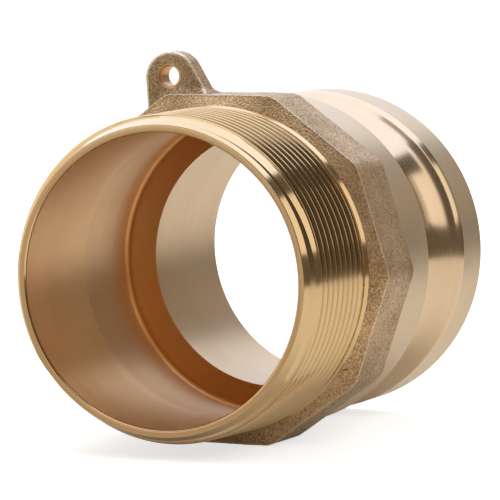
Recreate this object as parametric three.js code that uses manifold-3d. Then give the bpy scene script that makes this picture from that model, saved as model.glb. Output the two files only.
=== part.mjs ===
// A 2-inch cam and groove adapter with a male pipe thread, cast in brass and machined at both ends.
// Millimetres, +Z up. It lies on its side: the axis runs along Y, the thread's mouth faces -Y and the
// sealing nose faces +Y. It rests on one flat of the wrench collar, and the lug stands up at the left.
// The casting is built as its sections, which meet face to face across planes square to the axis.
import * as THREE from "three";
import { mergeVertices } from "three/addons/utils/BufferGeometryUtils.js";
import Module from "manifold-3d";

const wasm = await Module();
wasm.setup();

// Along the axis, from the mouth
const MOUTH_BEVEL = 0.85; // length of the bevel round the outside of the mouth
const LEAD_LENGTH = 3.4; // the lead taper ends and the crests are full from here
const THREAD_LENGTH = 22.9; // from the mouth to the end of the last full thread
const RELIEF = 1.9; // hollow sweep from the thread up to the collar
const COLLAR_WIDTH = 14.1;
const SHOULDER_WIDTH = 13.1;
const GROOVE_WIDTH = 20.9; // between the two cylinders, edge rounds included
const NOSE_WIDTH = 10.1;

// Across the axis
const MOUTH_FACE_RADIUS = 28.1; // outer edge of the flat ring at the mouth
const THREAD_CREST_RADIUS = 29.7; // at the mouth, before the taper
const THREAD_TAPER = 1 / 32; // radius gained for each millimetre along the thread
const THREAD_PITCH = 25.4 / 11.5; // eleven and a half turns to the inch
const THREAD_DEPTH = 1.68;
const THREAD_START = 1.31; // the middle of a crest lies here on the +X side
const THREAD_ROOT_SHARE = 0.06; // flat at the root, as a share of the pitch
const THREAD_CREST_SHARE = 0.1; // flat at the crest
const LEAD_RADIUS = 28.95; // the turned blank just behind the mouth's bevel
const RELIEF_TOP_RADIUS = 31.2; // where the relief meets the collar's cast face
const COLLAR_FLATS = 10;
const COLLAR_ACROSS_FLATS = 65.0;
const COLLAR_CAST_EDGE = 0.5; // softened edge of the casting
const SHOULDER_RADIUS = 32.0;
const GROOVE_ROOT_RADIUS = 27.4;
const GROOVE_EDGE_ROUND = 1.6; // convex round at each side of the groove
const NOSE_RADIUS = 31.5; // a 2-inch nose is 63 mm across
const NOSE_EDGE_BEVEL = 0.6;

// Inside
const THREAD_BORE_RADIUS = 26.7;
const CORE_RADIUS = 27.7; // inside the thread's root everywhere
const MOUTH_INNER_BEVEL = 0.35;
const CHAMBER_RADIUS = 29.1; // the bore widens to this under the shoulder
const CHAMBER_CORNER = 2.4; // hollow curve where the chamber meets the step
const STEP_LENGTH = 4.0; // sloping step down to the nose bore
const NOSE_BORE_RADIUS = 24.7; // at the step
const NOSE_BORE_FLARE = 1.0; // radius gained from the step to the nose's end
const NOSE_BORE_BEVEL = 0.5;

// Lug
const LUG_ANGLE = 108; // degrees round from +X, on a corner of the collar
const LUG_THICKNESS = 4.5;
const LUG_HOLE_RADIUS = 1.9;
const LUG_HOLE_HEIGHT = 3.5; // from the collar's corner up to the hole's centre
const LUG_TOP_RADIUS = 4.4;
const LUG_FLANK_ANGLE = 15; // degrees that each flank leans in
const LUG_EDGE = 0.5;

const ROUND_SEGMENTS = 50; // a multiple of the collar's flats
const ARC_STEPS = 6;
const THREAD_TRIM = 0.5; // clearance of the trimming envelope past the crests

const threadEnd = THREAD_LENGTH + RELIEF;
const collarEnd = threadEnd + COLLAR_WIDTH;
const shoulderEnd = collarEnd + SHOULDER_WIDTH;
const grooveEnd = shoulderEnd + GROOVE_WIDTH;
const noseEnd = grooveEnd + NOSE_WIDTH;
const stepStart = shoulderEnd - STEP_LENGTH;
const apothem = COLLAR_ACROSS_FLATS / 2;
const cornerRadius = apothem / Math.cos(Math.PI / COLLAR_FLATS);

const finishes = {
  turnedBrass: new THREE.MeshStandardMaterial({ color: 0xc9a265, roughness: 0.3, metalness: 1 }),
  castBrass: new THREE.MeshStandardMaterial({ color: 0x9c8466, roughness: 0.75, metalness: 0.8 }),
  satinBrass: new THREE.MeshStandardMaterial({ color: 0xcfb791, roughness: 0.5, metalness: 1 }),
  polishedBrass: new THREE.MeshStandardMaterial({ color: 0xd2a766, roughness: 0.2, metalness: 1 }),
};

function solid(geometry) {
  const bare = geometry.index ? geometry.toNonIndexed() : geometry.clone();
  bare.deleteAttribute("normal");
  bare.deleteAttribute("uv");
  const merged = mergeVertices(bare, 1e-4);
  return new wasm.Manifold(
    new wasm.Mesh({
      numProp: 3,
      vertProperties: merged.attributes.position.array,
      triVerts: new Uint32Array(merged.index.array),
    }),
  );
}

function geometryOf(body) {
  const mesh = body.getMesh();
  const geometry = new THREE.BufferGeometry();
  geometry.setAttribute("position", new THREE.BufferAttribute(mesh.vertProperties, mesh.numProp));
  geometry.setIndex(new THREE.BufferAttribute(mesh.triVerts, 1));
  return geometry;
}

// A body of revolution about Y. The outline is a closed loop of [radius, y], up the outside in +Y.
function revolved(outline) {
  const points = outline.map(([radius, y]) => new THREE.Vector2(radius, y));
  points.push(points[0].clone());
  const lathe = new THREE.LatheGeometry(points, ROUND_SEGMENTS);
  lathe.rotateY(Math.PI / 2);
  return lathe;
}

// Points on a circle's arc in the [radius, y] plane, between two angles from the +radius direction.
function arc(radiusCentre, yCentre, size, from, to) {
  return Array.from({ length: ARC_STEPS + 1 }, (_, i) => {
    const turn = from + ((to - from) * i) / ARC_STEPS;
    return [radiusCentre + size * Math.cos(turn), yCentre + size * Math.sin(turn)];
  });
}

// Radius of the main bore at a distance along the axis: straight behind the mouth, then widening.
function mainBoreRadius(y) {
  const along = Math.max(0, y - threadEnd) / (stepStart - threadEnd);
  return THREAD_BORE_RADIUS + (CHAMBER_RADIUS - THREAD_BORE_RADIUS) * along;
}

function noseBoreRadius(y) {
  return NOSE_BORE_RADIUS + (NOSE_BORE_FLARE * (y - shoulderEnd)) / (noseEnd - shoulderEnd);
}

function crestRadius(y) {
  return THREAD_CREST_RADIUS + THREAD_TAPER * y;
}

// The thread: a right-hand helix, one pitch of its outline carried round and along, each turn sharing the
// next one's edge. Its inside is a plain helix buried in the tail's core, and its ends are ragged until trimmed.
function threadHelix() {
  const turns = Math.ceil(THREAD_LENGTH / THREAD_PITCH) + 2;
  const steps = turns * ROUND_SEGMENTS;
  const crestMiddle = 0.5 + THREAD_ROOT_SHARE / 2;
  const outline = [
    [-THREAD_DEPTH, 0],
    [-THREAD_DEPTH, THREAD_ROOT_SHARE],
    [0, crestMiddle - THREAD_CREST_SHARE / 2],
    [0, crestMiddle + THREAD_CREST_SHARE / 2],
  ];
  const buried = (CORE_RADIUS + THREAD_BORE_RADIUS) / 2;
  const stride = outline.length + 1;
  const positions = [];
  for (let i = 0; i <= steps + ROUND_SEGMENTS; i++) {
    const angle = (2 * Math.PI * i) / ROUND_SEGMENTS;
    const y0 = THREAD_START + THREAD_PITCH * (i / ROUND_SEGMENTS - 1 - crestMiddle);
    for (const [rise, share] of outline) {
      const y = y0 + share * THREAD_PITCH;
      const radius = crestRadius(y) + rise;
      positions.push(radius * Math.cos(angle), y, -radius * Math.sin(angle));
    }
    positions.push(buried * Math.cos(angle), y0, -buried * Math.sin(angle));
  }
  const outer = (i, j) => (j < outline.length ? i * stride + j : (i + ROUND_SEGMENTS) * stride);
  const inner = (i) => i * stride + outline.length;
  const indices = [];
  const quad = (a, b, c, d) => indices.push(a, b, c, a, c, d);
  for (let i = 0; i < steps; i++) {
    for (let j = 0; j < outline.length; j++)
      quad(outer(i, j), outer(i + 1, j), outer(i + 1, j + 1), outer(i, j + 1));
    quad(inner(i), inner(i + ROUND_SEGMENTS), inner(i + 1 + ROUND_SEGMENTS), inner(i + 1));
  }
  for (let i = 0; i < ROUND_SEGMENTS; i++) {
    quad(inner(i), inner(i + 1), outer(i + 1, 0), outer(i, 0));
    const far = steps + i;
    quad(outer(far, 0), outer(far + 1, 0), inner(far + 1), inner(far));
  }
  for (let j = 0; j < outline.length; j++) {
    indices.push(inner(0), outer(0, j), outer(0, j + 1));
    indices.push(inner(steps), outer(steps, j + 1), outer(steps, j));
  }
  indices.push(inner(0), outer(0, outline.length), inner(ROUND_SEGMENTS));
  indices.push(inner(steps), inner(steps + ROUND_SEGMENTS), outer(steps, outline.length));
  const helix = new THREE.BufferGeometry();
  helix.setAttribute("position", new THREE.Float32BufferAttribute(positions, 3));
  helix.setIndex(indices);
  return helix;
}

// The threaded tail: the helix trimmed to the turned blank it was cut from, with the core and the relief.
function maleThread() {
  const blank = revolved([
    [MOUTH_FACE_RADIUS, 0],
    [LEAD_RADIUS, MOUTH_BEVEL],
    [crestRadius(LEAD_LENGTH) + THREAD_TRIM, LEAD_LENGTH],
    [crestRadius(THREAD_LENGTH) + THREAD_TRIM, THREAD_LENGTH],
    [THREAD_BORE_RADIUS, THREAD_LENGTH],
    [THREAD_BORE_RADIUS, 0],
  ]);
  const core = revolved([
    [CORE_RADIUS, 0],
    [CORE_RADIUS, THREAD_LENGTH],
    ...arcToCollar(),
    [THREAD_BORE_RADIUS, threadEnd],
    [THREAD_BORE_RADIUS, MOUTH_BEVEL],
    [THREAD_BORE_RADIUS + MOUTH_INNER_BEVEL, 0],
  ]);
  return solid(threadHelix()).intersect(solid(blank)).add(solid(core));
}

// The relief is a quarter of an ellipse, from the last crest's height out to the collar's face.
function arcToCollar() {
  const low = crestRadius(THREAD_LENGTH);
  return Array.from({ length: ARC_STEPS + 1 }, (_, i) => {
    const turn = ((Math.PI / 2) * i) / ARC_STEPS;
    return [
      RELIEF_TOP_RADIUS - (RELIEF_TOP_RADIUS - low) * Math.cos(turn),
      THREAD_LENGTH + RELIEF * Math.sin(turn),
    ];
  });
}

// The collar: a ten-sided prism with softened edges, a corner pointing along +X, and the widening bore.
function wrenchCollar() {
  const outline = new THREE.Shape();
  const inset = COLLAR_CAST_EDGE / Math.cos(Math.PI / COLLAR_FLATS);
  for (let i = 0; i < COLLAR_FLATS; i++) {
    const angle = (2 * Math.PI * i) / COLLAR_FLATS;
    const reach = cornerRadius - inset;
    outline[i ? "lineTo" : "moveTo"](reach * Math.cos(angle), reach * Math.sin(angle));
  }
  outline.closePath();
  const prism = new THREE.ExtrudeGeometry(outline, {
    depth: COLLAR_WIDTH - 2 * COLLAR_CAST_EDGE,
    bevelEnabled: true,
    bevelSize: COLLAR_CAST_EDGE,
    bevelThickness: COLLAR_CAST_EDGE,
    bevelSegments: 1,
  });
  prism.rotateX(Math.PI / 2);
  prism.translate(0, collarEnd - COLLAR_CAST_EDGE, 0);
  const bore = revolved([
    [mainBoreRadius(threadEnd), threadEnd - 1],
    [mainBoreRadius(threadEnd), threadEnd],
    [mainBoreRadius(collarEnd), collarEnd],
    [mainBoreRadius(collarEnd), collarEnd + 1],
    [0, collarEnd + 1],
    [0, threadEnd - 1],
  ]);
  return solid(prism).subtract(solid(bore));
}

// The lug: a flat eye with leaning flanks and a round top, standing on the corner of the collar.
function lanyardLug() {
  const holeReach = cornerRadius + LUG_HOLE_HEIGHT;
  const lean = THREE.MathUtils.degToRad(LUG_FLANK_ANGLE);
  const footReach = apothem - 4;
  const top = LUG_TOP_RADIUS - LUG_EDGE;
  const footHalf = top / Math.cos(lean) + (holeReach - footReach) * Math.tan(lean);
  const outline = new THREE.Shape();
  outline.moveTo(-footHalf, footReach);
  outline.lineTo(footHalf, footReach);
  outline.lineTo(top * Math.cos(lean), holeReach + top * Math.sin(lean));
  outline.absarc(0, holeReach, top, lean, Math.PI - lean, false);
  outline.closePath();
  const plate = new THREE.ExtrudeGeometry(outline, {
    depth: LUG_THICKNESS - 2 * LUG_EDGE,
    bevelEnabled: true,
    bevelSize: LUG_EDGE,
    bevelThickness: LUG_EDGE,
    bevelSegments: 1,
    curveSegments: 12,
  });
  const drill = new THREE.CylinderGeometry(LUG_HOLE_RADIUS, LUG_HOLE_RADIUS, 3 * LUG_THICKNESS, 20);
  drill.rotateX(Math.PI / 2);
  drill.translate(0, holeReach, LUG_THICKNESS / 2);
  const eye = solid(plate).subtract(solid(drill));
  const placed = geometryOf(eye);
  placed.translate(0, 0, LUG_EDGE - LUG_THICKNESS / 2);
  placed.rotateX(Math.PI / 2);
  placed.rotateY(-THREE.MathUtils.degToRad(LUG_ANGLE - 90));
  placed.translate(0, (threadEnd + collarEnd) / 2, 0);
  return solid(placed).subtract(solid(collarBlank()));
}

// The collar's ten flats as a full prism, which the lug's foot is cut to.
function collarBlank() {
  const blank = new THREE.CylinderGeometry(cornerRadius, cornerRadius, COLLAR_WIDTH, COLLAR_FLATS);
  blank.rotateY(Math.PI / 2);
  blank.translate(0, (threadEnd + collarEnd) / 2, 0);
  return blank;
}

// The turned shoulder, with the end of the widening bore and the sloping step inside.
function shoulderRing() {
  const slope = Math.atan2(CHAMBER_RADIUS - NOSE_BORE_RADIUS, STEP_LENGTH);
  const cornerCentre = stepStart - CHAMBER_CORNER * Math.tan(slope / 2);
  const hollow = arc(CHAMBER_RADIUS - CHAMBER_CORNER, cornerCentre, CHAMBER_CORNER, slope, 0);
  return revolved([
    [SHOULDER_RADIUS, collarEnd],
    [SHOULDER_RADIUS, shoulderEnd],
    [noseBoreRadius(shoulderEnd), shoulderEnd],
    ...hollow,
    [mainBoreRadius(collarEnd), collarEnd],
  ]);
}

// The cam groove: a shallow circular hollow between two convex edge rounds.
function camGroove() {
  const middle = (shoulderEnd + grooveEnd) / 2;
  const halfChord = GROOVE_WIDTH / 2 - GROOVE_EDGE_ROUND;
  const rise = NOSE_RADIUS - GROOVE_EDGE_ROUND - GROOVE_ROOT_RADIUS;
  const size = (halfChord ** 2 + rise ** 2) / (2 * rise);
  const swing = Math.asin(halfChord / size);
  const hollow = arc(GROOVE_ROOT_RADIUS + size, middle, -size, swing, -swing);
  return revolved([
    [SHOULDER_RADIUS, shoulderEnd],
    ...hollow,
    [NOSE_RADIUS, grooveEnd],
    [noseBoreRadius(grooveEnd), grooveEnd],
    [noseBoreRadius(shoulderEnd), shoulderEnd],
  ]);
}

// The nose that enters the coupler and presses on its gasket.
function sealingNose() {
  return revolved([
    [NOSE_RADIUS, grooveEnd],
    [NOSE_RADIUS, noseEnd - NOSE_EDGE_BEVEL],
    [NOSE_RADIUS - NOSE_EDGE_BEVEL, noseEnd],
    [noseBoreRadius(noseEnd) + NOSE_BORE_BEVEL, noseEnd],
    [noseBoreRadius(noseEnd), noseEnd - NOSE_BORE_BEVEL],
    [noseBoreRadius(grooveEnd), grooveEnd],
  ]);
}

const adapter = new THREE.Group();
adapter.position.set(0, -noseEnd / 2, apothem);

function place(name, geometry, finish) {
  const mesh = new THREE.Mesh(geometry, finish);
  mesh.name = name;
  adapter.add(mesh);
}

place("male_pipe_thread", geometryOf(maleThread()), finishes.turnedBrass);
place("wrench_collar", geometryOf(wrenchCollar()), finishes.castBrass);
place("lanyard_lug", geometryOf(lanyardLug()), finishes.castBrass);
place("shoulder_ring", shoulderRing(), finishes.satinBrass);
place("cam_groove", camGroove(), finishes.polishedBrass);
place("sealing_nose", sealingNose(), finishes.satinBrass);

const part = new THREE.Group();
part.add(adapter);
export default part;
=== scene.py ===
# %% [markdown]
# # A brass adapter for a cam and groove coupling
#
# The real thing is one sand casting in brass. A lathe has turned its nose, its groove, its
# shoulder and its bore, and has cut a taper pipe thread on its tail. The wrench collar and the
# lug for a lanyard are left as they came out of the sand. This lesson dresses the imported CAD
# model of it: every zone gets a finer surface in the same place, and the finish that its own
# step in the foundry or on the lathe left on it.

import math

import bpy
import bmesh
import numpy as np
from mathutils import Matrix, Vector


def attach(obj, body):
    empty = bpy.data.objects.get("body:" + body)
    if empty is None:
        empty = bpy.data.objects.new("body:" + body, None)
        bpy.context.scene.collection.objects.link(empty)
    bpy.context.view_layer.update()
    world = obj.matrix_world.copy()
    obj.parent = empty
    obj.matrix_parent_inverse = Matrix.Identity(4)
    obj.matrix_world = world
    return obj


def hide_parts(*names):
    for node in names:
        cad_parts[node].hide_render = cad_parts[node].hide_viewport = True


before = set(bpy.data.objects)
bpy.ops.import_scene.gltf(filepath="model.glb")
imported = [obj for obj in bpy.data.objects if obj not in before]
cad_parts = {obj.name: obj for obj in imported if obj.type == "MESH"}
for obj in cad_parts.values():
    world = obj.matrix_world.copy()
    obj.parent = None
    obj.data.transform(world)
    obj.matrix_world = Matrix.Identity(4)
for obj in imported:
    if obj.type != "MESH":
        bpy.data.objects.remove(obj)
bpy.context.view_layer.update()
print("CAD nodes:", sorted(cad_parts))

# %% [markdown]
# ## The camera
#
# A long lens from two thirds of a metre keeps the circles nearly true. It stands to the right
# of the bore's axis and a little above it, so that it looks into the mouth and along the thread.
# The camera comes first, because everything after it is judged through it. Its view turns left
# of the bore's axis by one angle and falls by another, and the studio needs both again.

# %% Place the camera
VIEW_TURN = 23.333
VIEW_FALL = 4.871
lens = bpy.data.cameras.new("long_lens")
lens.lens = 252.0
lens.sensor_width = 36.0
lens.clip_start = 0.01
lens.clip_end = 50.0
camera = bpy.data.objects.new("camera", lens)
camera.location = (0.26135, -0.60640, 0.09122)
camera.rotation_euler = (math.radians(90 - VIEW_FALL), 0.0, math.radians(VIEW_TURN))
bpy.context.scene.collection.objects.link(camera)
bpy.context.scene.camera = camera
print("camera at", tuple(round(c, 4) for c in camera.location))

# %% [markdown]
# ## The sizes
#
# The part's lengths are in millimetres, as on a workshop drawing, and are turned into metres
# only where a mesh, a finish or a screen is made. "Along" is the distance from the mouth along
# the bore's axis, "radius" is the distance from that axis, and "turn" is the angle round it from
# the right-hand side.

# %% Sizes of the adapter
MM = 0.001
COLLAR_START = 24.8
COLLAR_END = 38.9
SHOULDER_END = 52.0
GROOVE_END = 72.9
NOSE_END = 83.0
HALF_LENGTH = NOSE_END / 2
CREST_RADIUS = 29.7
TAPER = 1 / 32
PITCH = 25.4 / 11.5
THREAD_DEPTH = 1.68
FIRST_CREST = 4.08
ACROSS_FLATS = 65.0
FLATS = 10
SHOULDER_RADIUS = 32.0
NOSE_RADIUS = 31.5
BORE_RADIUS = 26.7
CHAMBER_RADIUS = 29.1
STEP_LENGTH = 4.0
STEP_START = SHOULDER_END - STEP_LENGTH
NOSE_BORE_RADIUS = 24.7
NOSE_BORE_FLARE = 1.0
apothem = ACROSS_FLATS / 2
axis_height = apothem
corner_radius = apothem / math.cos(math.pi / FLATS)
print(f"collar {ACROSS_FLATS} mm across flats, {2 * corner_radius:.2f} mm across corners")

# %% [markdown]
# ## From numbers to a mesh
#
# Nearly every piece is a ring: a closed outline carried round the axis. So one helper turns a
# grid of points, closed both ways or closed by merging its seam, into a mesh. The sign of the
# volume that the mesh encloses tells whether its faces have to be turned outwards, and the
# helper prints how many edges are left open.


# %% A grid of points round the axis
def placed(radius, along, turn):
    """x = radius cos(turn), y = along - half the length, z = axis height + radius sin(turn)."""
    radius, along, turn = np.broadcast_arrays(radius, along, turn)
    x = radius * np.cos(turn)
    z = axis_height + radius * np.sin(turn)
    return np.stack([x, along - HALF_LENGTH, z], -1) * MM


def grid_faces(columns, rows, close_columns, close_rows):
    """Four corners for each cell of a grid whose point (i, j) is number i * rows + j."""
    i = np.arange(columns if close_columns else columns - 1)
    j = np.arange(rows if close_rows else rows - 1)
    i, j = (a.ravel() for a in np.meshgrid(i, j, indexing="ij"))
    i2, j2 = (i + 1) % columns, (j + 1) % rows
    return np.stack([i * rows + j, i2 * rows + j, i2 * rows + j2, i * rows + j2], 1)


def enclosed(points, faces):
    """Sum of the signed volumes of the pyramids from the origin to each face."""
    a, b, c, d = (points[faces[:, k]] for k in range(4))
    volume = (a * np.cross(b, c)).sum() + (a * np.cross(c, d)).sum()
    return volume / 6


# %% From the grid to a piece
# both in metres
MERGED_WITHIN = 3e-7
COLLAPSED_WITHIN = 2e-7


def make_piece(name, points, faces, face_finish, sharp):
    """A mesh object of four-cornered faces, merged where points meet, sharp beyond an angle in degrees."""
    points = np.asarray(points, float).reshape(-1, 3)
    if enclosed(points - points.mean(0), faces) < 0:
        faces = faces[:, ::-1]
    mesh = bpy.data.meshes.new(name)
    mesh.vertices.add(len(points))
    mesh.vertices.foreach_set("co", points.astype(np.float32).ravel())
    mesh.loops.add(faces.size)
    mesh.loops.foreach_set("vertex_index", faces.astype(np.int32).ravel())
    mesh.polygons.add(len(faces))
    mesh.polygons.foreach_set("loop_start", np.arange(0, faces.size, 4, dtype=np.int32))
    mesh.polygons.foreach_set("material_index", face_finish.astype(np.int32))
    mesh.update(calc_edges=True)
    work = bmesh.new()
    work.from_mesh(mesh)
    bmesh.ops.remove_doubles(work, verts=work.verts, dist=MERGED_WITHIN)
    bmesh.ops.dissolve_degenerate(work, edges=work.edges, dist=COLLAPSED_WITHIN)
    work.to_mesh(mesh)
    work.free()
    mesh.shade_smooth()
    mesh.set_sharp_from_angle(angle=math.radians(sharp))
    piece = bpy.data.objects.new(name, mesh)
    bpy.context.scene.collection.objects.link(piece)
    edge_used = np.empty(len(mesh.loops), np.int32)
    mesh.loops.foreach_get("edge_index", edge_used)
    open_edges = (np.bincount(edge_used, minlength=len(mesh.edges)) != 2).sum()
    triangles = len(mesh.loops) - 2 * len(mesh.polygons)
    print(f"{name}: {triangles} triangles, {open_edges} open edges")
    return piece


# %% [markdown]
# ## Unevenness
#
# Sand and hand work leave lumps of every size. A lattice of random heights, blended smoothly
# between its points, gives lumps of one size, and a sum of three such sizes looks like cast
# metal. The seeds are fixed, so the casting is the same every time.


# %% Random lumps
LATTICE = 64
FAR_FROM_ZERO = 1000.0


def lumps(points, cell, seed):
    """Random heights from -1 to 1 on a cubic lattice, blended by 3t^2 - 2t^3 along each axis."""
    table = np.random.default_rng(seed).uniform(-1, 1, (LATTICE, LATTICE, LATTICE))
    q = np.asarray(points, float) / (cell * MM) + FAR_FROM_ZERO
    base = np.floor(q).astype(int)
    t = q - base
    t = t * t * (3 - 2 * t)
    total = 0
    for dx in (0, 1):
        for dy in (0, 1):
            for dz in (0, 1):
                corner = (base + (dx, dy, dz)) % LATTICE
                weight = np.ones(t.shape[:-1])
                for k, step in enumerate((dx, dy, dz)):
                    weight = weight * (t[..., k] if step else 1 - t[..., k])
                total = total + weight * table[corner[..., 0], corner[..., 1], corner[..., 2]]
    return total


def cast_skin(points, height):
    """Three sizes of lumps added up: 4 mm, 1.3 mm and 0.6 mm across."""
    broad = 0.45 * lumps(points, 4.0, 1)
    middling = 0.35 * lumps(points, 1.3, 2)
    fine = 0.35 * lumps(points, 0.6, 3)
    return height * (broad + middling + fine)


# %% [markdown]
# ## The threaded tail
#
# The thread is a right-hand taper thread. It starts on a long lead cone, which helps it into its
# socket. The first groove of the thread is cut across that cone: it is deep low on the right,
# narrows as it climbs, and has faded out near the top. A boolean cut by a helix would leave long
# thin triangles. So the surface is one function of the distance along and the turn, and the
# grid's rows lean with the helix. That keeps every crest on a row of points, and after one full
# turn each row meets its neighbour.


# %% Shape of the lead cone and its groove
LEAD_RADIUS = 28.05
LEAD_SLOPE = 0.4
LAND_BELOW_CREST = 0.35
GROOVE_AT = 1.51
GROOVE_WIDTH = 1.24
GROOVE_DEPTH_SHARE = 0.87
# turns in degrees, anticlockwise from the right: the groove stops being whole, has faded out,
# leaves the helix and rejoins it, and the thread starts
WHOLE_UNTIL = 12
FADED_AT = 75
LEAVES_HELIX = 100
REJOINS_HELIX = 190
START_TURN = 250.0


def from_start(turn):
    """The turn in degrees, which jumps from +250 to -110 where the thread starts, underneath."""
    degrees = np.degrees(turn)
    return np.where(degrees < START_TURN, degrees, degrees - 360)


def smooth_rise(value, low, high):
    """0 below low, 1 above high, and 3t^2 - 2t^3 between."""
    t = np.clip((value - low) / (high - low), 0, 1)
    return t * t * (3 - 2 * t)


def groove_start(degrees):
    """The first groove's left edge, on the helix. Where it is absent it slides on by a pitch."""
    return GROOVE_AT + PITCH * (smooth_rise(degrees, LEAVES_HELIX, REJOINS_HELIX) - degrees / 360)


def groove_width(degrees):
    """Whole, then falling to nothing by a power of the angle, and back again underneath."""
    fading = np.clip((FADED_AT - degrees) / (FADED_AT - WHOLE_UNTIL), 0, 1) ** 1.2
    return GROOVE_WIDTH * np.maximum(fading, smooth_rise(degrees, REJOINS_HELIX, START_TURN))


def lead_radius(along):
    """The lead cone, a straight slope, which ends a little below the thread's crests."""
    land = CREST_RADIUS + TAPER * along - LAND_BELOW_CREST
    return np.minimum(LEAD_RADIUS + LEAD_SLOPE * along, land)


# %% Shape of the thread
# half-widths of the flats on crest and root, in pitches, and how softly the crest turns over
CREST_FLAT = 0.05
ROOT_FLAT = 0.03
CREST_SOFTNESS = 0.002


def ridge(along, away):
    """Crest radius, growing 1 in 32, less the depth times the share of the way down to the root.

    Away is the distance from the crest in pitches. The share rises in a straight line from the
    flat on the crest to the flat in the root, and a square root softens its start.
    """
    flank = (away - CREST_FLAT) / (0.5 - CREST_FLAT - ROOT_FLAT)
    share = 0.5 * (flank + np.sqrt(flank**2 + CREST_SOFTNESS)) - CREST_SOFTNESS
    return CREST_RADIUS + TAPER * along - THREAD_DEPTH * np.clip(share, 0, 1)


def tail_surface(along, turn):
    """Left of the first crest the higher of its flank and the land, right of it the thread.

    Underneath the first ridge fades into the land, which makes room for the next turn.
    """
    degrees = from_start(turn)
    phase = (along - FIRST_CREST) / PITCH + degrees / 360
    land = lead_radius(along)
    thread = ridge(along, np.abs(phase - np.round(phase)))
    surface = np.where(phase < 0, np.maximum(land, ridge(along, -phase)), thread)
    faded = np.maximum(land, ridge(along, np.abs(1 - phase)))
    fade = smooth_rise(degrees, REJOINS_HELIX, START_TURN) * (phase < 1)
    return (1 - fade) * surface + fade * faded


# %% Rows of the lead and the thread
COLUMNS = 360
THREAD_STOP = 22.5
MOUTH_EDGE = 0.02
# places across half a pitch, closer together on the crest and in the root
half_pitch = np.array([0.0, 0.03, 0.055, 0.08, 0.12, 0.2, 0.3, 0.4, 0.455, 0.485])
one_pitch = np.concatenate([half_pitch, 1 - half_pitch[:0:-1]])
turn = np.linspace(0, 2 * math.pi, COLUMNS + 1)[:, None]
crests = np.arange(-2, math.ceil(THREAD_STOP / PITCH) + 1)
helix = FIRST_CREST + PITCH * ((crests[:, None] + one_pitch).ravel() - turn / (2 * math.pi))
edge = groove_start(from_start(turn))
width = groove_width(from_start(turn))
helix = np.clip(helix, edge + width, THREAD_STOP)
lead = np.concatenate([MOUTH_EDGE + 0 * turn, edge * 0.3, edge * 0.7, edge, edge + width / 2], 1)
groove_row = lead.shape[1] - 1
on_lead = lead_radius(lead)
on_lead[:, groove_row] -= GROOVE_DEPTH_SHARE * width[:, 0]
thread_radius = np.concatenate([on_lead, tail_surface(helix, turn)], 1)
thread_along = np.concatenate([lead, helix], 1)
print("rows over the lead and the thread:", thread_radius.shape[1])

# %% [markdown]
# ### Relief, bore and mouth
#
# Behind the thread the tool needs room to run out. That relief is a short polished cylinder and
# then a cone up to the collar. The wall inside is the bore, and the mouth is a narrow flat ring
# with a small round on its inner edge. These parts are the same at every turn, so one short
# outline of radius and distance along is repeated for each turn of the thread's grid.

# %% Build the threaded tail
BORE_STEPS = 16
relief_flank = [(29.2, 22.62), (30.06, 23.12)]
relief_cylinder = [(30.07, 23.25), (30.07, 23.82), (30.1, 23.92)]
relief_cone = [(30.14, 24.0), (30.46, 24.72), (30.49, 24.78)]
outside = relief_flank + relief_cylinder + relief_cone
end_wall = [(28.5, COLLAR_START), (BORE_RADIUS, COLLAR_START)]
bore_wall = [(BORE_RADIUS, a) for a in np.linspace(23.5, 1.0, BORE_STEPS)]
mouth_round = [(BORE_RADIUS, 0.5), (26.72, 0.36), (26.85, 0.12), (26.98, 0.02), (27.05, 0.0)]
mouth_ring = [(27.2, 0.0), (27.9, 0.0), (27.98, 0.004)]
rest = np.array(outside + end_wall + bore_wall + mouth_round + mouth_ring)


def every_turn(column):
    """The same numbers for each turn of the grid."""
    return np.broadcast_to(column, (COLUMNS + 1, len(column)))


radius = np.concatenate([thread_radius, every_turn(rest[:, 0])], 1)
along = np.concatenate([thread_along, every_turn(rest[:, 1])], 1)
points = placed(radius, along, turn)
faces = grid_faces(COLUMNS + 1, points.shape[1], False, True)
row = faces[:, 0] % points.shape[1]
first_bored = thread_radius.shape[1] + len(outside)
last_bored = first_bored + len(end_wall) + len(bore_wall)
tail_finish = ((row >= first_bored) & (row <= last_bored)).astype(int)
tail = make_piece("threaded_tail", points, faces, tail_finish, sharp=32.0)
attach(tail, "root")
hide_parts("male_pipe_thread")

# %% [markdown]
# ## The wrench collar
#
# The collar is a ten-sided ring as cast. A bevelled prism would give its shape, but the lumps of
# the casting need a fine, even grid. So its outline runs round the flats with a small round at
# each corner, and a strip of surface is carried from the thread's relief out over the front
# face, across the flats, back in over the rear face and through the bore. Cast faces are seldom
# quite square, and the front one is drawn as a shallow cone, further back at its outer edge.


# %% Outlines of the collar
def flats_radius(turn, size, round_by):
    """Distance to a regular polygon's side, size / cos(angle from the side's middle).

    A soft minimum holds it below the corner's own distance less what the round takes off.
    """
    half_turn = math.pi / FLATS
    off = np.mod(turn, 2 * half_turn) - half_turn
    side = size / np.cos(off)
    limit = size / math.cos(half_turn) - round_by
    blend = 0.35 * round_by
    held = side - 0.5 * ((side - limit) + np.sqrt((side - limit) ** 2 + blend**2))
    return np.where(side > limit - 4 * blend, held, side)


def bore_radius(along):
    """Straight to the collar, then widening evenly to the chamber."""
    share = np.clip((along - COLLAR_START) / (STEP_START - COLLAR_START), 0, 1)
    return BORE_RADIUS + (CHAMBER_RADIUS - BORE_RADIUS) * share


# %% The strip across the collar
EDGE = 0.18
FRONT_RISE = 1.2
FACE_STEPS = 8
FLANK_STEPS = 43
REAR_STEPS = 6
front_edge = COLLAR_START + FRONT_RISE
quarter = np.radians((0, 22, 45, 68, 90))
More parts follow.
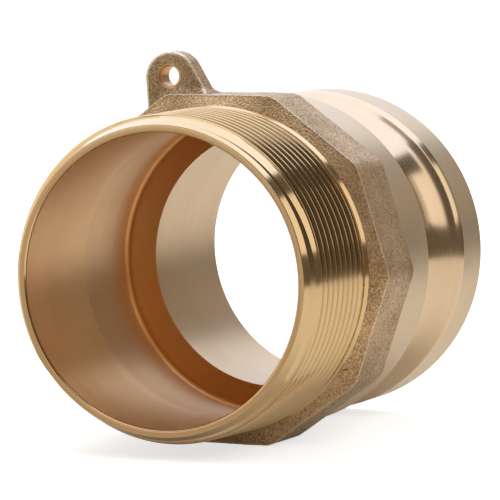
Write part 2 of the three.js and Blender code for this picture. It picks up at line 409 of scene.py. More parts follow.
# each row: share of the way from the inner circle to the flats, millimetres past them, along
strip = [(s, 0.0, COLLAR_START + FRONT_RISE * s) for s in np.linspace(0, 1, FACE_STEPS + 1)[:-1]]
for a in quarter:
    strip.append((1.0, -EDGE * (1 - math.sin(a)), front_edge + EDGE * (1 - math.cos(a))))
for s in np.linspace(front_edge + EDGE, COLLAR_END - EDGE, FLANK_STEPS + 1)[1:-1]:
    strip.append((1.0, 0.0, s))
for a in quarter[::-1]:
    strip.append((1.0, -EDGE * (1 - math.sin(a)), COLLAR_END - EDGE * (1 - math.cos(a))))
strip += [(s, 0.0, COLLAR_END) for s in np.linspace(1, 0, REAR_STEPS + 1)[1:]]
share, past, strip_along = np.array(strip).T
print("rows across the collar:", len(strip))

# %% Build the wrench collar
PER_FLAT = 64
ROOM_FOR_LUMPS = 0.08
CORNER_ROUND = 0.22
FRONT_RING = 30.42
REAR_RING = 31.6
LUMP_HEIGHT = 0.07
LUMPS_ON_FACES = 0.8
BORE_ROWS = 12
# places in the list of finishes of a cast piece
CAST, BORED, EDGE_HIGHLIGHT, LIT_FRONT_FACE = 0, 1, 2, 3
turn = (np.arange(FLATS * PER_FLAT) / (FLATS * PER_FLAT) * 2 * math.pi)[:, None]
inner = np.where(np.arange(len(strip)) < len(strip) // 2, FRONT_RING, REAR_RING)
full = flats_radius(turn, apothem - ROOM_FOR_LUMPS, CORNER_ROUND)
radius = np.where(share >= 1, full + past, inner + (full - EDGE - inner) * share)
along = np.broadcast_to(strip_along, radius.shape)
rough = cast_skin(placed(radius, along, turn), LUMP_HEIGHT)
cast_rows = share > 0
# the rounded edges move with the faces, all but their last row
almost = EDGE * 0.9
on_flats = (strip_along > front_edge + almost) & (strip_along < COLLAR_END - almost) & (share >= 1)
inwards = np.where(strip_along < (COLLAR_START + COLLAR_END) / 2, 1, -1)
radius = radius + rough * cast_rows
along = along + np.abs(rough) * LUMPS_ON_FACES * (cast_rows & ~on_flats) * inwards
bore_along = np.linspace(COLLAR_END, COLLAR_START, BORE_ROWS)
radius = np.concatenate([radius, np.broadcast_to(bore_radius(bore_along), (len(turn), BORE_ROWS))], 1)
along = np.concatenate([along, np.broadcast_to(bore_along, (len(turn), BORE_ROWS))], 1)
points = placed(radius, along, turn)
faces = grid_faces(len(turn), points.shape[1], True, True)
row = faces[:, 0] % points.shape[1]
collar_finish = np.full(len(row), CAST)
# painted light: the front face gets a brighter, warmer copy of the skin for how the light falls on it
collar_finish[row < FACE_STEPS] = LIT_FRONT_FACE
# painted highlight: the round on the front edge gets the brighter edge copy of the skin
collar_finish[(row >= FACE_STEPS) & (row < FACE_STEPS + len(quarter) - 1)] = EDGE_HIGHLIGHT
collar_finish[row >= len(strip) - 1] = BORED
collar = make_piece("wrench_collar_casting", points, faces, collar_finish, sharp=32.0)
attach(collar, "root")
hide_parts("wrench_collar")

# %% [markdown]
# ## The lug
#
# A flat eye stands on the collar's upper left corner and takes the ring of a dust cap's
# lanyard. It is part of the casting, so its edges are round and it flares where it meets the
# collar. It could be cut from a plate with a boolean, but a ring-shaped grid round the hole
# gives even faces: each column runs from the hole outwards in one direction, over the rim and
# back, and stops at the round top, at a leaning side or at the foot sunk into the collar.

# %% Outline of the lug
LUG_TURN = math.radians(108)
LUG_THICKNESS = 4.5
HALF_THICK = LUG_THICKNESS / 2
HOLE_RADIUS = 1.9
HOLE_AT = 37.4
TOP_RADIUS = 4.58
SIDE_LEAN = math.radians(12)
FOOT_AT = 31.0
OUT_OF_REACH = 1e3
TINY = 1e-6
LUG_COLUMNS = 144
lug_middle = (COLLAR_START + COLLAR_END) / 2
around = np.linspace(0, 2 * math.pi, LUG_COLUMNS, endpoint=False)
direction = np.stack([np.cos(around), np.sin(around)], -1)
sideways = np.abs(direction[:, 0])
upwards = direction[:, 1]
side_reach = TOP_RADIUS / np.maximum(sideways * math.cos(SIDE_LEAN) + upwards * math.sin(SIDE_LEAN), TINY)
side_reach = np.minimum(side_reach, OUT_OF_REACH)
foot_reach = (HOLE_AT - FOOT_AT) / np.maximum(-upwards, TINY)
below_round = np.arctan2(upwards, sideways) < SIDE_LEAN
outer = np.minimum(np.where(below_round, side_reach, TOP_RADIUS), foot_reach)[:, None]
print(f"lug: hole {HOLE_AT} mm from the axis, foot {outer.max():.1f} mm from the hole at the most")

# %% Section of the lug
HOLE_ROUND = 0.45
RIM_ROUND = 0.6
hole_angles = np.radians((180, 150, 120, 90))
rim_angles = np.radians((90, 65, 45, 25, 0))
# each row: where it lies, how far out from there, and how deep from the lug's middle plane
section = []
for a in hole_angles:
    section.append(("hole", HOLE_ROUND * (1 + math.cos(a)), HOLE_ROUND * (1 - math.sin(a)) - HALF_THICK))
section += [("face", share, -HALF_THICK) for share in (0.3, 0.6)]
first_rim_row = len(section)
for a in rim_angles:
    section.append(("rim", RIM_ROUND * (math.cos(a) - 1), RIM_ROUND * (1 - math.sin(a)) - HALF_THICK))
mirrored = [(kind, out, -deep) for kind, out, deep in section[::-1]]
section += [("rim", 0.0, 0.0)] + mirrored + [("hole", 0.0, 0.0)]
kinds = np.array([kind for kind, _, _ in section])
out = np.array([out for _, out, _ in section])
depth = np.array([deep for _, _, deep in section])
print("rows across the lug:", len(section))

# %% Build the lug
FLARE = 1.3
FLARE_SIDEWAYS = 0.3
FLARE_FULL_AT = HALF_THICK / 1.3
WIDER_RIM = 1.09
WIDER_FACE = 1.04
LUG_LUMPS = 0.05
in_hole, on_rim = kinds == "hole", kinds == "rim"
on_face = HOLE_RADIUS + HOLE_ROUND + out * (outer - RIM_ROUND - HOLE_RADIUS - HOLE_ROUND)
reach = np.where(in_hole, HOLE_RADIUS + out, np.where(on_rim, outer + out, on_face))
widened = np.select([in_hole, on_rim], [1.0, WIDER_RIM], WIDER_FACE)
across = reach * direction[:, :1] * widened
height = HOLE_AT + reach * direction[:, 1:]
# the flare is a quarter circle: FLARE - sqrt(FLARE^2 - (distance still to go to its top)^2)
above = height - (corner_radius - np.abs(across) * math.tan(math.pi / FLATS))
to_go = FLARE - np.clip(above, 0, FLARE)
flare = FLARE - np.sqrt(FLARE**2 - to_go**2)
thicker = flare * ~in_hole * np.minimum(np.abs(depth) / FLARE_FULL_AT, 1)
wider = FLARE_SIDEWAYS * flare * on_rim * np.minimum(sideways[:, None] * 2, 1)
depth = depth + np.sign(depth) * thicker
across = across + np.sign(across) * wider
x = across * math.sin(LUG_TURN) + height * math.cos(LUG_TURN)
z = axis_height + height * math.sin(LUG_TURN) - across * math.cos(LUG_TURN)
points = np.stack([x, lug_middle + depth - HALF_LENGTH, z], -1) * MM
points[..., 1] += cast_skin(points, LUG_LUMPS) * MM * np.sign(depth)
faces = grid_faces(len(around), points.shape[1], True, True)
row = faces[:, 0] % points.shape[1]
lug_finish = np.full(len(row), CAST)
lug_finish[in_hole[row] & in_hole[(row + 1) % points.shape[1]]] = BORED
# painted highlight: the round on one side of the rim gets the brighter edge copy of the skin
lug_finish[(row >= first_rim_row) & (row < first_rim_row + len(rim_angles) - 1)] = EDGE_HIGHLIGHT
lug = make_piece("lanyard_eye", points, faces, lug_finish, sharp=50.0)
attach(lug, "root")
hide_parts("lanyard_lug")

# %% [markdown]
# ## The shoulder, the groove and the nose
#
# These three are bodies of revolution from the lathe. Each outline is drawn once, its corners
# are rounded as a file rounds them, and it is carried round the axis. Blender's Screw modifier
# could do that too, but the same grid helper also says which stretch gets which finish.
#
# The shoulder is a plain cylinder outside. Inside it the widened bore, the chamber, ends in a
# rounded hollow, and a sloping step leads down to the narrower bore of the nose.


# %% Helpers for outlines
def softened(corners, radii, steps=4, guard=0.25):
    """An outline through the corners, each rounded by an arc of its own radius.

    An arc starts radius / tan(half the corner's angle) before its corner and turns evenly about
    its centre. Two guard points beside each arc keep the flats flat.
    """
    corners = np.asarray(corners, float)
    out = []
    for k, (p, size) in enumerate(zip(corners, radii)):
        if size <= 0:
            out.append(p[None])
            continue
        before, after = corners[k - 1], corners[(k + 1) % len(corners)]
        u, v = before - p, after - p
        lu, lv = np.linalg.norm(u), np.linalg.norm(v)
        u, v = u / lu, v / lv
        half_angle = math.acos(float(np.clip(u @ v, -1, 1))) / 2
        back = size / math.tan(half_angle)
        centre = p + (u + v) / np.linalg.norm(u + v) * size / math.sin(half_angle)
        start, end = p + u * back - centre, p + v * back - centre
        sweep = math.pi - 2 * half_angle
        t = np.linspace(0, 1, steps + 1)[:, None]
        rounded = (np.sin((1 - t) * sweep) * start + np.sin(t * sweep) * end) / math.sin(sweep)
        near = min(guard, 0.3 * (lu - back)), min(guard, 0.3 * (lv - back))
        out.append((p + u * (back + near[0]))[None])
        out.append(centre + rounded)
        out.append((p + v * (back + near[1]))[None])
    return np.concatenate(out)


def filled(outline, longest):
    """The same closed outline, with even extra points on each straight part over the limit."""
    out = []
    for p, q in zip(outline, np.roll(outline, -1, 0)):
        count = max(1, math.ceil(np.linalg.norm(q - p) / longest))
        out.append(p + (q - p) * (np.arange(count) / count)[:, None])
    return np.concatenate(out)


def arc(level, along, size, angles):
    """Radius level + size (1 - cos a), along + size sin a. A negative size bends it inwards."""
    return np.stack([level + size * (1 - np.cos(angles)), along + size * np.sin(angles)], -1)


# %% Helper for the turned rings
LONGEST = 1.2
RING_COLUMNS = 288


def turned_ring(name, node, outline, finish_of):
    """The closed outline of (radius, along) carried round the axis, in place of a CAD node.

    finish_of gives the finish of each stretch from the radius and the place of its middle.
    """
    outline = filled(outline, LONGEST)
    turn = (np.arange(RING_COLUMNS) / RING_COLUMNS * 2 * math.pi)[:, None]
    points = placed(outline[None, :, 0], outline[None, :, 1], turn)
    faces = grid_faces(RING_COLUMNS, len(outline), True, True)
    middle = (outline + np.roll(outline, -1, 0)) / 2
    finish = finish_of(middle[:, 0], middle[:, 1])[faces[:, 0] % len(outline)]
    piece = make_piece(name, points, faces, finish, sharp=35.0)
    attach(piece, "root")
    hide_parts(node)
    return piece


def nose_bore_radius(along):
    """From the step to the end of the nose it flares evenly by a millimetre."""
    return NOSE_BORE_RADIUS + NOSE_BORE_FLARE * (along - SHOULDER_END) / (NOSE_END - SHOULDER_END)


# %% Build the shoulder
STEP_CORNER = 2.4
OUTSIDE_OVER = 30.0
# places in the list of finishes of a turned piece
OUTSIDE, INSIDE, STEP = 0, 1, 2
step_slope = math.atan2(CHAMBER_RADIUS - NOSE_BORE_RADIUS, STEP_LENGTH)
corner_at = STEP_START - STEP_CORNER * math.tan(step_slope / 2)
shell = softened(
    [
        (float(bore_radius(COLLAR_END)), COLLAR_END),
        (SHOULDER_RADIUS, COLLAR_END),
        (SHOULDER_RADIUS, SHOULDER_END),
        (NOSE_BORE_RADIUS, SHOULDER_END),
    ],
    [0, 0.15, 0.35, 0],
)
step_lip = [(NOSE_BORE_RADIUS + 0.25, SHOULDER_END - 0.22)]
step_hollow = arc(CHAMBER_RADIUS, corner_at, -STEP_CORNER, np.linspace(-step_slope, 0, 9))
shoulder = turned_ring(
    "turned_shoulder",
    "shoulder_ring",
    np.concatenate([shell, step_lip, step_hollow]),
    lambda radius, along: np.select([radius > OUTSIDE_OVER, along < corner_at], [OUTSIDE, INSIDE], STEP),
)

# %% [markdown]
# ### The groove
#
# The coupler's cams press into this hollow and pull the nose against a gasket. One arc from side
# to side would be simpler, but the two sides differ. Towards the nose one hollow arc and one
# round corner meet where both lean by the same angle. Towards the shoulder one flatter arc ends
# in a steep little wall.

# %% Build the groove
GROOVE_ROOT = 27.4
NOSE_CORNER = 3.0
WALL_WIDTH = 1.6
WALL_FOOT = 29.9
METAL_MIDDLE = 26.5
groove_middle = (SHOULDER_END + GROOVE_END) / 2
half_groove = (GROOVE_END - SHOULDER_END) / 2
drop = NOSE_RADIUS - GROOVE_ROOT
meeting = 2 * math.atan(drop / half_groove)
hollow_size = drop / (1 - math.cos(meeting)) - NOSE_CORNER
nose_side = arc(GROOVE_ROOT, groove_middle, hollow_size, np.linspace(0, meeting, 20))
nose_corner = arc(NOSE_RADIUS, GROOVE_END, -NOSE_CORNER, np.linspace(meeting, 0, 9)[1:])
chord = half_groove - WALL_WIDTH
rise = WALL_FOOT - GROOVE_ROOT
flat_size = (chord**2 + rise**2) / (2 * rise)
swing = math.asin(chord / flat_size)
wall = [(SHOULDER_RADIUS - 0.4, SHOULDER_END), (31.2, SHOULDER_END + 0.25), (30.5, SHOULDER_END + 0.8)]
shoulder_side = arc(GROOVE_ROOT, groove_middle, flat_size, np.linspace(-swing, 0, 15)[:-1])
inner_wall = [(float(nose_bore_radius(GROOVE_END)), GROOVE_END), (NOSE_BORE_RADIUS, SHOULDER_END)]
groove = turned_ring(
    "hollow_cam_groove",
    "cam_groove",
    np.concatenate([wall, shoulder_side, nose_side, nose_corner, inner_wall]),
    lambda radius, along: np.where(radius > METAL_MIDDLE, OUTSIDE, INSIDE),
)

# %% [markdown]
# ### The nose
#
# The nose slides into the coupler until its end meets the gasket. It is a plain turned ring with
# its edges broken: a round outside and a bevel inside, so that neither cuts the rubber. The
# outline gives both, and a bevel modifier would round the hidden joint with the groove too.

# %% Build the nose
INNER_BEVEL = 0.5
bevel_foot = float(nose_bore_radius(NOSE_END))
bevel_top = bevel_foot + INNER_BEVEL
nose_outline = softened(
    [
        (float(nose_bore_radius(GROOVE_END)), GROOVE_END),
        (NOSE_RADIUS, GROOVE_END),
        (NOSE_RADIUS, NOSE_END),
        (bevel_top, NOSE_END),
        (bevel_foot, NOSE_END - INNER_BEVEL),
    ],
    [0, 0, 0.6, 0.15, 0.15],
)
nose = turned_ring(
    "nose_ring",
    "sealing_nose",
    nose_outline,
    lambda radius, along: np.where(radius < bevel_top + 0.1, INSIDE, OUTSIDE),
)

# %% [markdown]
# ## The finishes
#
# Brass is all one metal here, so each finish differs in how rough it is and in the marks that
# it carries. All the patterns read Object coordinates, measured from the bore's axis, so that
# they run on from one piece to the next.


# %% Helpers for the finishes
def new_finish(name, colour, metallic, roughness):
    """A Principled material, and what is needed to add marks to it."""
    material = bpy.data.materials.new(name)
    material.use_nodes = True
    tree = material.node_tree
    shader = tree.nodes["Principled BSDF"]
    shader.inputs["Base Color"].default_value = (*colour, 1)
    shader.inputs["Metallic"].default_value = metallic
    shader.inputs["Roughness"].default_value = roughness
    return material, tree, shader


def plugged(tree, socket, value):
    """Give the socket a value, or link another node's output to it."""
    if isinstance(value, bpy.types.NodeSocket):
        tree.links.new(value, socket)
    else:
        socket.default_value = value


def joined(tree, kind, **inputs):
    """A node of that kind. Each keyword is an input's name, with a value or another node's output."""
    node = tree.nodes.new(kind)
    for key, value in inputs.items():
        plugged(tree, node.inputs[key.replace("_", " ")], value)
    return node


def worked(tree, operation, a, b=None):
    """One step of arithmetic on numbers."""
    node = tree.nodes.new("ShaderNodeMath")
    node.operation = operation
    plugged(tree, node.inputs[0], a)
    if b is not None:
        plugged(tree, node.inputs[1], b)
    return node.outputs[0]


def weighed(tree, one, share, two, other_share):
    """one * share + two * other_share."""
    one, two = worked(tree, "MULTIPLY", one, share), worked(tree, "MULTIPLY", two, other_share)
    return worked(tree, "ADD", one, two)


def spread(tree, value, low, high, to_low, to_high):
    """The value moved in a straight line from the range low to high into the range to_low to to_high."""
    ends = dict(From_Min=low, From_Max=high, To_Min=to_low, To_Max=to_high)
    return joined(tree, "ShaderNodeMapRange", Value=value, **ends).outputs[0]


def noise(tree, vector, scale, detail=2.0, rough=0.5):
    """Smooth noise, mostly between 0.3 and 0.7, with lumps about 1 / scale of a metre across."""
    node = joined(tree, "ShaderNodeTexNoise", Vector=vector, Scale=scale, Detail=detail, Roughness=rough)
    return node.outputs["Fac"]


def blended(tree, factor, one, two):
    """The colour (1 - factor) * one + factor * two. Each is a colour or another node's output."""
    node = tree.nodes.new("ShaderNodeMix")
    node.data_type = "RGBA"
    tree.links.new(factor, node.inputs[0])
    for socket, colour in ((node.inputs[6], one), (node.inputs[7], two)):
        plugged(tree, socket, colour if isinstance(colour, bpy.types.NodeSocket) else (*colour, 1))
    return node.outputs[2]


def darken(tree, shader, factor, dark):
    """Turn the shader's own colour into the dark one where the factor is 1."""
    own = shader.inputs["Base Color"].links[0].from_socket
    tree.links.new(blended(tree, factor, own, dark), shader.inputs["Base Color"])


def bumped(tree, shader, height, strength, distance):
    """Let the shader's normal follow a height of so many metres."""
    bump = joined(tree, "ShaderNodeBump", Height=height, Strength=strength, Distance=distance)
    tree.links.new(bump.outputs[0], shader.inputs["Normal"])


def from_axis(tree):
    """The place measured from the bore's axis, as a vector, and then radius, along, x and z."""
    place = tree.nodes.new("ShaderNodeTexCoord").outputs["Object"]
    centred = joined(tree, "ShaderNodeMapping", Vector=place, Location=(0, 0, -axis_height * MM))
    x, y, z = joined(tree, "ShaderNodeSeparateXYZ", Vector=centred.outputs[0]).outputs
    squares = worked(tree, "ADD", worked(tree, "MULTIPLY", x, x), worked(tree, "MULTIPLY", z, z))
    return centred.outputs[0], worked(tree, "SQRT", squares), y, x, z


# %% [markdown]
# ### Brass off the lathe
#
# The lathe's marks run round the axis. Noise that changes fast with the distance along and from
# the axis, and hardly at all with the angle, draws them. A ring texture would be too even: a
# real tool chatters, so the noise sets colour, roughness and height together.


# %% The turned finish
# how fast the noise changes across the marks and round the axis, per metre
FAST = 4000.0
SLOW = 25.0


def lathe_marks(tree):
    """Noise on (fast * along + slow * x, fast * radius + slow * z): streaks round the axis."""
    _, radius, along, x, z = from_axis(tree)
    a = weighed(tree, along, FAST, x, SLOW)
    b = weighed(tree, radius, FAST, z, SLOW)
    vector = joined(tree, "ShaderNodeCombineXYZ", X=a, Y=b).outputs[0]
    return noise(tree, vector, 1.0, 3.0, 0.6)


def turned_finish(name, light, dark, low_rough, high_rough, mark_height):
    """Streaks in colour, roughness and height, and a slow change of tone over the piece."""
    material, tree, shader = new_finish(name, light, 1.0, low_rough)
    marks = lathe_marks(tree)
    cloud = noise(tree, from_axis(tree)[0], 60.0, 3.0)
    tone = weighed(tree, marks, 0.35, cloud, 0.65)
    colour = blended(tree, spread(tree, tone, 0.35, 0.65, 0, 1), light, dark)
    tree.links.new(colour, shader.inputs["Base Color"])
    tree.links.new(spread(tree, marks, 0.3, 0.7, low_rough, high_rough), shader.inputs["Roughness"])
    bumped(tree, shader, marks, 0.6, mark_height)
    return material


satin = turned_finish("satin_brass_finish", (0.83, 0.64, 0.42), (0.78, 0.58, 0.36), 0.38, 0.48, 1.2e-5)
polished = turned_finish("polished_brass_finish", (0.86, 0.63, 0.40), (0.81, 0.57, 0.34), 0.13, 0.19, 3e-6)
bored = turned_finish("bored_brass_finish", (0.85, 0.56, 0.29), (0.79, 0.49, 0.24), 0.34, 0.48, 1.8e-5)
scraped = turned_finish("scraped_step_finish", (0.88, 0.52, 0.23), (0.80, 0.44, 0.17), 0.30, 0.42, 1.5e-5)
bored_nose = turned_finish("bored_nose_finish", (0.84, 0.63, 0.40), (0.79, 0.57, 0.34), 0.36, 0.48, 1.5e-5)
print("lathe finishes:", [m.name for m in (satin, polished, bored, scraped, bored_nose)])

# %% [markdown]
# ### Painted shade in the thread's roots
#
# The thread's roots lie in shade between its crests, and that shade is painted into the colour.
# So the thread has the turned finish, darkened by its depth below the line of the crests. The lead
# cone in front of the first crest is not darkened.

# %% The thread's finish
# painted shade in the roots: the depths below the crest line in mm where it starts and where it is full,
# its strength, and where along the axis it begins behind the lead cone
ROOT_SHADE_STARTS = 0.3
ROOT_SHADE_FULL = 0.65
ROOT_SHADE_STRENGTH = 0.6
UNSHADED_UNTIL = 4.2
ROOT_SHADE_FROM = 4.8
turned = turned_finish("turned_brass_finish", (0.86, 0.60, 0.31), (0.80, 0.53, 0.26), 0.10, 0.16, 4e-6)
tree = turned.node_tree
_, radius, along, _, _ = from_axis(tree)
crest_at_middle = CREST_RADIUS + TAPER * HALF_LENGTH
crest = worked(tree, "ADD", worked(tree, "MULTIPLY", along, TAPER), crest_at_middle * MM)
below = worked(tree, "SUBTRACT", crest, radius)
below = spread(tree, below, ROOT_SHADE_STARTS * MM, ROOT_SHADE_FULL * MM, 0, ROOT_SHADE_STRENGTH)
lead_end = (UNSHADED_UNTIL - HALF_LENGTH) * MM
behind_lead = spread(tree, along, lead_end, (ROOT_SHADE_FROM - HALF_LENGTH) * MM, 0, 1)
# painted shade: the roots are darkened towards this dark brown by their depth, as shade between the crests
painted_root_shade = worked(tree, "MULTIPLY", below, behind_lead)
darken(tree, tree.nodes["Principled BSDF"], painted_root_shade, (0.38, 0.21, 0.08))
print("thread finish:", turned.name)

# %% [markdown]
# ### Brass as the sand left it
#
# Cast skin is grainy in every direction and has lost its shine. The lumps over half a millimetre
# are in the mesh already, and finer grain would need millions of faces, so it is bump. One fine
# noise makes the grain, a broad one makes patches, and the peaks of a third are pits. The same
# skin comes in three copies: one for the flats, one painted a little brighter and warmer for the
# light on the front face, and one painted brighter still as a highlight on the edges.


# %% The cast finishes
def cast_finish(name, light, dark, low_rough, high_rough):
    """Grain in colour, roughness and height, broad patches and a few dark pits."""
    material, tree, shader = new_finish(name, light, 0.92, high_rough)
    vector = from_axis(tree)[0]
    grain = noise(tree, vector, 2600.0, 2.0, 0.6)
    patch = noise(tree, vector, 140.0, 3.0)
    tone = weighed(tree, grain, 0.7, patch, 0.3)
    colour = blended(tree, spread(tree, tone, 0.35, 0.65, 0, 1), dark, light)
    tree.links.new(colour, shader.inputs["Base Color"])
    pits = spread(tree, noise(tree, vector, 1300.0, 1.0), 0.70, 0.78, 0, 1)
    darken(tree, shader, pits, (0.13, 0.08, 0.04))
    tree.links.new(spread(tree, grain, 0.3, 0.7, high_rough, low_rough), shader.inputs["Roughness"])
    bumped(tree, shader, grain, 1.0, 1.6e-4)
    return material


cast = cast_finish("cast_brass_finish", (0.84, 0.58, 0.33), (0.27, 0.165, 0.08), 0.40, 0.64)
# painted light: the front face's copy of the cast skin, brighter and warmer than the flats
lit_front_face = cast_finish("painted_lit_front_face_finish", (0.92, 0.60, 0.31), (0.35, 0.205, 0.085), 0.32, 0.52)
# painted highlight: this edge copy is lighter than the flats and stands for the shine of the rounded edges
edge_highlight = cast_finish("painted_edge_highlight_finish", (0.97, 0.78, 0.54), (0.66, 0.46, 0.25), 0.28, 0.45)
print("cast finishes:", [m.name for m in (cast, lit_front_face, edge_highlight)])

# %% Dress the pieces
dressed = (
    (tail, [turned, bored]),
    (collar, [cast, bored, edge_highlight, lit_front_face]),
    (lug, [cast, bored, edge_highlight]),
    (shoulder, [satin, bored, scraped]),
    (groove, [polished, bored_nose]),
    (nose, [satin, bored_nose]),
)
for piece, finishes in dressed:
    for finish in finishes:
        piece.data.materials.append(finish)
    print(piece.name, "wears", [finish.name for finish in finishes])

# %% [markdown]
# ## The studio
#
# Metal shows its surroundings, so the studio is mostly about what stands round the part: a pale
# table, a pale room, screens that only reflections show, and two soft lamps. The table looks
# white to the camera and dimmer in the metal. The room is white to both, and gives dull
# surfaces less light.


# %% Table and room
def staged(name, corners, faces):
    """A mesh object from its corners and faces, linked into the scene."""
    mesh = bpy.data.meshes.new(name)
    mesh.from_pydata(corners, [], faces)
    thing = bpy.data.objects.new(name, mesh)
    bpy.context.scene.collection.objects.link(thing)
    return thing


def who_looks(tree):
    """1 for the camera's rays and 0 for others, and 1 for the camera's, mirrored and refracted rays."""
    rays = tree.nodes.new("ShaderNodeLightPath").outputs
    either = worked(tree, "MAXIMUM", rays["Is Camera Ray"], rays["Is Glossy Ray"])
    return rays["Is Camera Ray"], worked(tree, "MAXIMUM", either, rays["Is Transmission Ray"])


TABLE_GLOW = 0.62
TABLE_MIRRORED = 0.06
ROOM_LIGHT = 0.6
table = staged("table", [(-6, -6, 0), (6, -6, 0), (6, 6, 0), (-6, 6, 0)], [(0, 1, 2, 3)])
paper, tree, shader = new_finish("white_paper", (0.60, 0.60, 0.595), 0.0, 0.6)
by_camera, by_either = who_looks(tree)
glow = weighed(tree, by_camera, TABLE_GLOW, by_either, TABLE_MIRRORED)
shader.inputs["Emission Color"].default_value = (1, 1, 1, 1)
tree.links.new(glow, shader.inputs["Emission Strength"])
shader.inputs["Specular IOR Level"].default_value = 0.0
table.data.materials.append(paper)

room = bpy.data.worlds.new("pale_room")
bpy.context.scene.world = room
room.use_nodes = True
sky = room.node_tree.nodes["Background"]
sky.inputs["Color"].default_value = (1, 1, 1, 1)
_, by_either = who_looks(room.node_tree)
room.node_tree.links.new(spread(room.node_tree, by_either, 0, 1, ROOM_LIGHT, 1.0), sky.inputs["Strength"])
print("studio:", table.name, "and", room.name)

# %% [markdown]
# ### The screens
#
# In a studio, dark and bright screens hang round polished metal, because it has hardly any
# tone of its own. Each screen here is a bent sheet that glows at one level and is seen only in
# reflections. Where it has to hang is worked out backwards. Brass at one turn and one slope
# sends the view off in one direction, so a band of the brass gives a sheet of such points.


# %% Helpers for the screens
SHEET_COLUMNS = 13


def crossed(first, second, rows):
    """A grid of pairs, evenly spaced between two ends each way."""
    return np.meshgrid(np.linspace(*first, SHEET_COLUMNS), np.linspace(*second, rows), indexing="ij")


def between(azimuths, elevations, distance):
    """A grid of points at one distance from the part, between two azimuths and two elevations.

    Each lies along (sin a cos e, cos a cos e, sin e): azimuth 0 is +Y and grows to the right.
    """
    a, e = np.radians(crossed(azimuths, elevations, 9))
    way = np.stack([np.sin(a) * np.cos(e), np.cos(a) * np.cos(e), np.sin(e)], -1)
    return way * distance + (0, 0, axis_height * MM)


def seen_in(turns, slopes, distance):
    """A grid of points which the camera sees mirrored in brass, between two turns and slopes.

    The slope is how fast the radius grows along the axis. With the view v and the brass facing
    n, a point lies in the direction v - 2 (v.n) n.
    """
    side, fall = math.radians(VIEW_TURN), math.radians(VIEW_FALL)
    view = np.array([-math.sin(side) * math.cos(fall), math.cos(side) * math.cos(fall), -math.sin(fall)])
    turn, slope = crossed(turns, slopes, 13)
    normal = np.stack([np.cos(np.radians(turn)), -slope, np.sin(np.radians(turn))], -1)
    normal = normal / np.linalg.norm(normal, axis=-1, keepdims=True)
    way = view - 2 * (normal @ view)[..., None] * normal
    return way * distance + (0, 0, axis_height * MM)


def glowing(name, level, colour):
    """A surface that only glows."""
    surface = bpy.data.materials.new(name)
    surface.use_nodes = True
    tree = surface.node_tree
    tree.nodes.clear()
    glow = joined(tree, "ShaderNodeEmission", Color=(*colour, 1), Strength=level)
    out = tree.nodes.new("ShaderNodeOutputMaterial")
    tree.links.new(glow.outputs[0], out.inputs["Surface"])
    return surface


def screen(name, grid, level, colour):
    """A bent sheet through a grid of points, seen only in reflections. Level is its brightness."""
    faces = grid_faces(*grid.shape[:2], False, False).tolist()
    sheet = staged(name, grid.reshape(-1, 3).tolist(), faces)
    sheet.data.materials.append(glowing(name + "_surface", level, colour))
    sheet.visible_camera = False
    sheet.visible_diffuse = False
    sheet.visible_shadow = False
    sheet.visible_transmission = False


# %% Hang the screens
CLOSE = 0.37
FAR = 2.9
IN_FRONT = FAR - 0.05
BEHIND = FAR + 0.05
FURTHEST = FAR + 0.1
WARM = (1.08, 0.93, 0.75)
HALF_WARM = (1.05, 0.97, 0.9)
PLAIN = (1, 1, 1)
HALF_COOL = (1.0, 1.07, 1.2)
COOL = (0.9, 1.05, 1.4)
TABLE_WARM = (1.1, 0.95, 0.85)
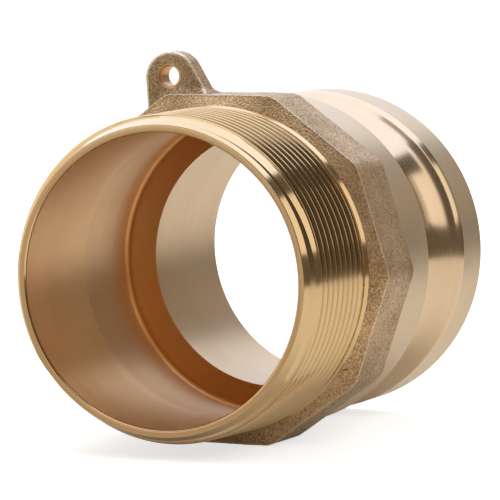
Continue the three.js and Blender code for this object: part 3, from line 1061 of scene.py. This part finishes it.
# the table in front of the mouth: near left, far left, near right and far right corner
ABOVE_TABLE = 0.0004
near_left, far_left = (-0.5, -0.9, ABOVE_TABLE), (-0.06, -0.044, ABOVE_TABLE)
near_right, far_right = (-0.3, -0.9, ABOVE_TABLE), (0.035, -0.044, ABOVE_TABLE)
table_in_front = np.array([[near_left, far_left], [near_right, far_right]])
screens = (
    ("dark_horizon", between((-70, 45), (-4.87, 5.2), CLOSE), 0.11, WARM),
    ("dark_horizon_right", between((45, 122), (-4.87, 11), CLOSE), 0.12, WARM),
    ("dark_gap", seen_in((34, 43), (-0.3, 0.6), FAR), 0.10, WARM),
    ("dim_right_panel", seen_in((11, 34), (-0.3, 0.17), FAR), 0.25, WARM),
    ("half_right_panel", seen_in((11, 34), (0.17, 0.27), FAR), 0.6, HALF_WARM),
    ("dark_far_right", seen_in((5, 46), (0.68, 1.1), FAR), 0.10, WARM),
    ("dim_far_right", seen_in((46, 60), (0.76, 1.1), FAR), 0.3, WARM),
    ("dark_low_right", seen_in((2, 11.5), (-0.3, 0.9), IN_FRONT), 0.11, WARM),
    ("dark_left_of_camera", between((125, 192), (-4.9, 43), CLOSE), 0.075, WARM),
    ("dark_over_camera", between((192, 235), (14, 43), CLOSE), 0.075, WARM),
    ("dim_above_camera", between((150, 235), (43, 53), FURTHEST), 0.45, PLAIN),
    ("bright_left_softbox", between((-50, 5.5), (4.76, 40), FURTHEST), 0.85, HALF_COOL),
    ("bright_middle_softbox", seen_in((43.5, 125), (0.1, 1.2), BEHIND), 1.3, COOL),
    ("bright_top_softbox", between((-125, 145), (51, 88), FURTHEST), 1.3, COOL),
    ("dim_table_in_front", table_in_front, 0.44, TABLE_WARM),
)
for name, grid, level, colour in screens:
    screen(name, grid, level, colour)
print("screens:", len(screens))

# %% [markdown]
# ### The lamps
#
# Two large round lamps light the table and what is dull in the cast skin, and give the part its
# faint shadow. The metal doesn't mirror them: the bright screens stand for lamps there.


# %% Hang the lamps
def lamp(name, place, size, power):
    """A round area lamp of that diameter in metres, which points at the part's foot."""
    light = bpy.data.lights.new(name, "AREA")
    light.shape = "DISK"
    light.size = size
    light.energy = power
    thing = bpy.data.objects.new(name, light)
    thing.location = place
    thing.rotation_mode = "QUATERNION"
    thing.rotation_quaternion = (-Vector(place)).to_track_quat("-Z", "Y")
    thing.visible_camera = False
    thing.visible_glossy = False
    bpy.context.scene.collection.objects.link(thing)
    print(f"{name}: {power} W")


lamp("overhead_lamp", (-0.3, 0.2, 1.2), 1.0, 9.0)
lamp("side_lamp", (0.9, -0.4, 0.9), 0.8, 5.0)

# %% [markdown]
# ## The picture
#
# The picture is shown as it is, with no film look.

# %% Finish
bpy.context.scene.view_settings.view_transform = "Standard"
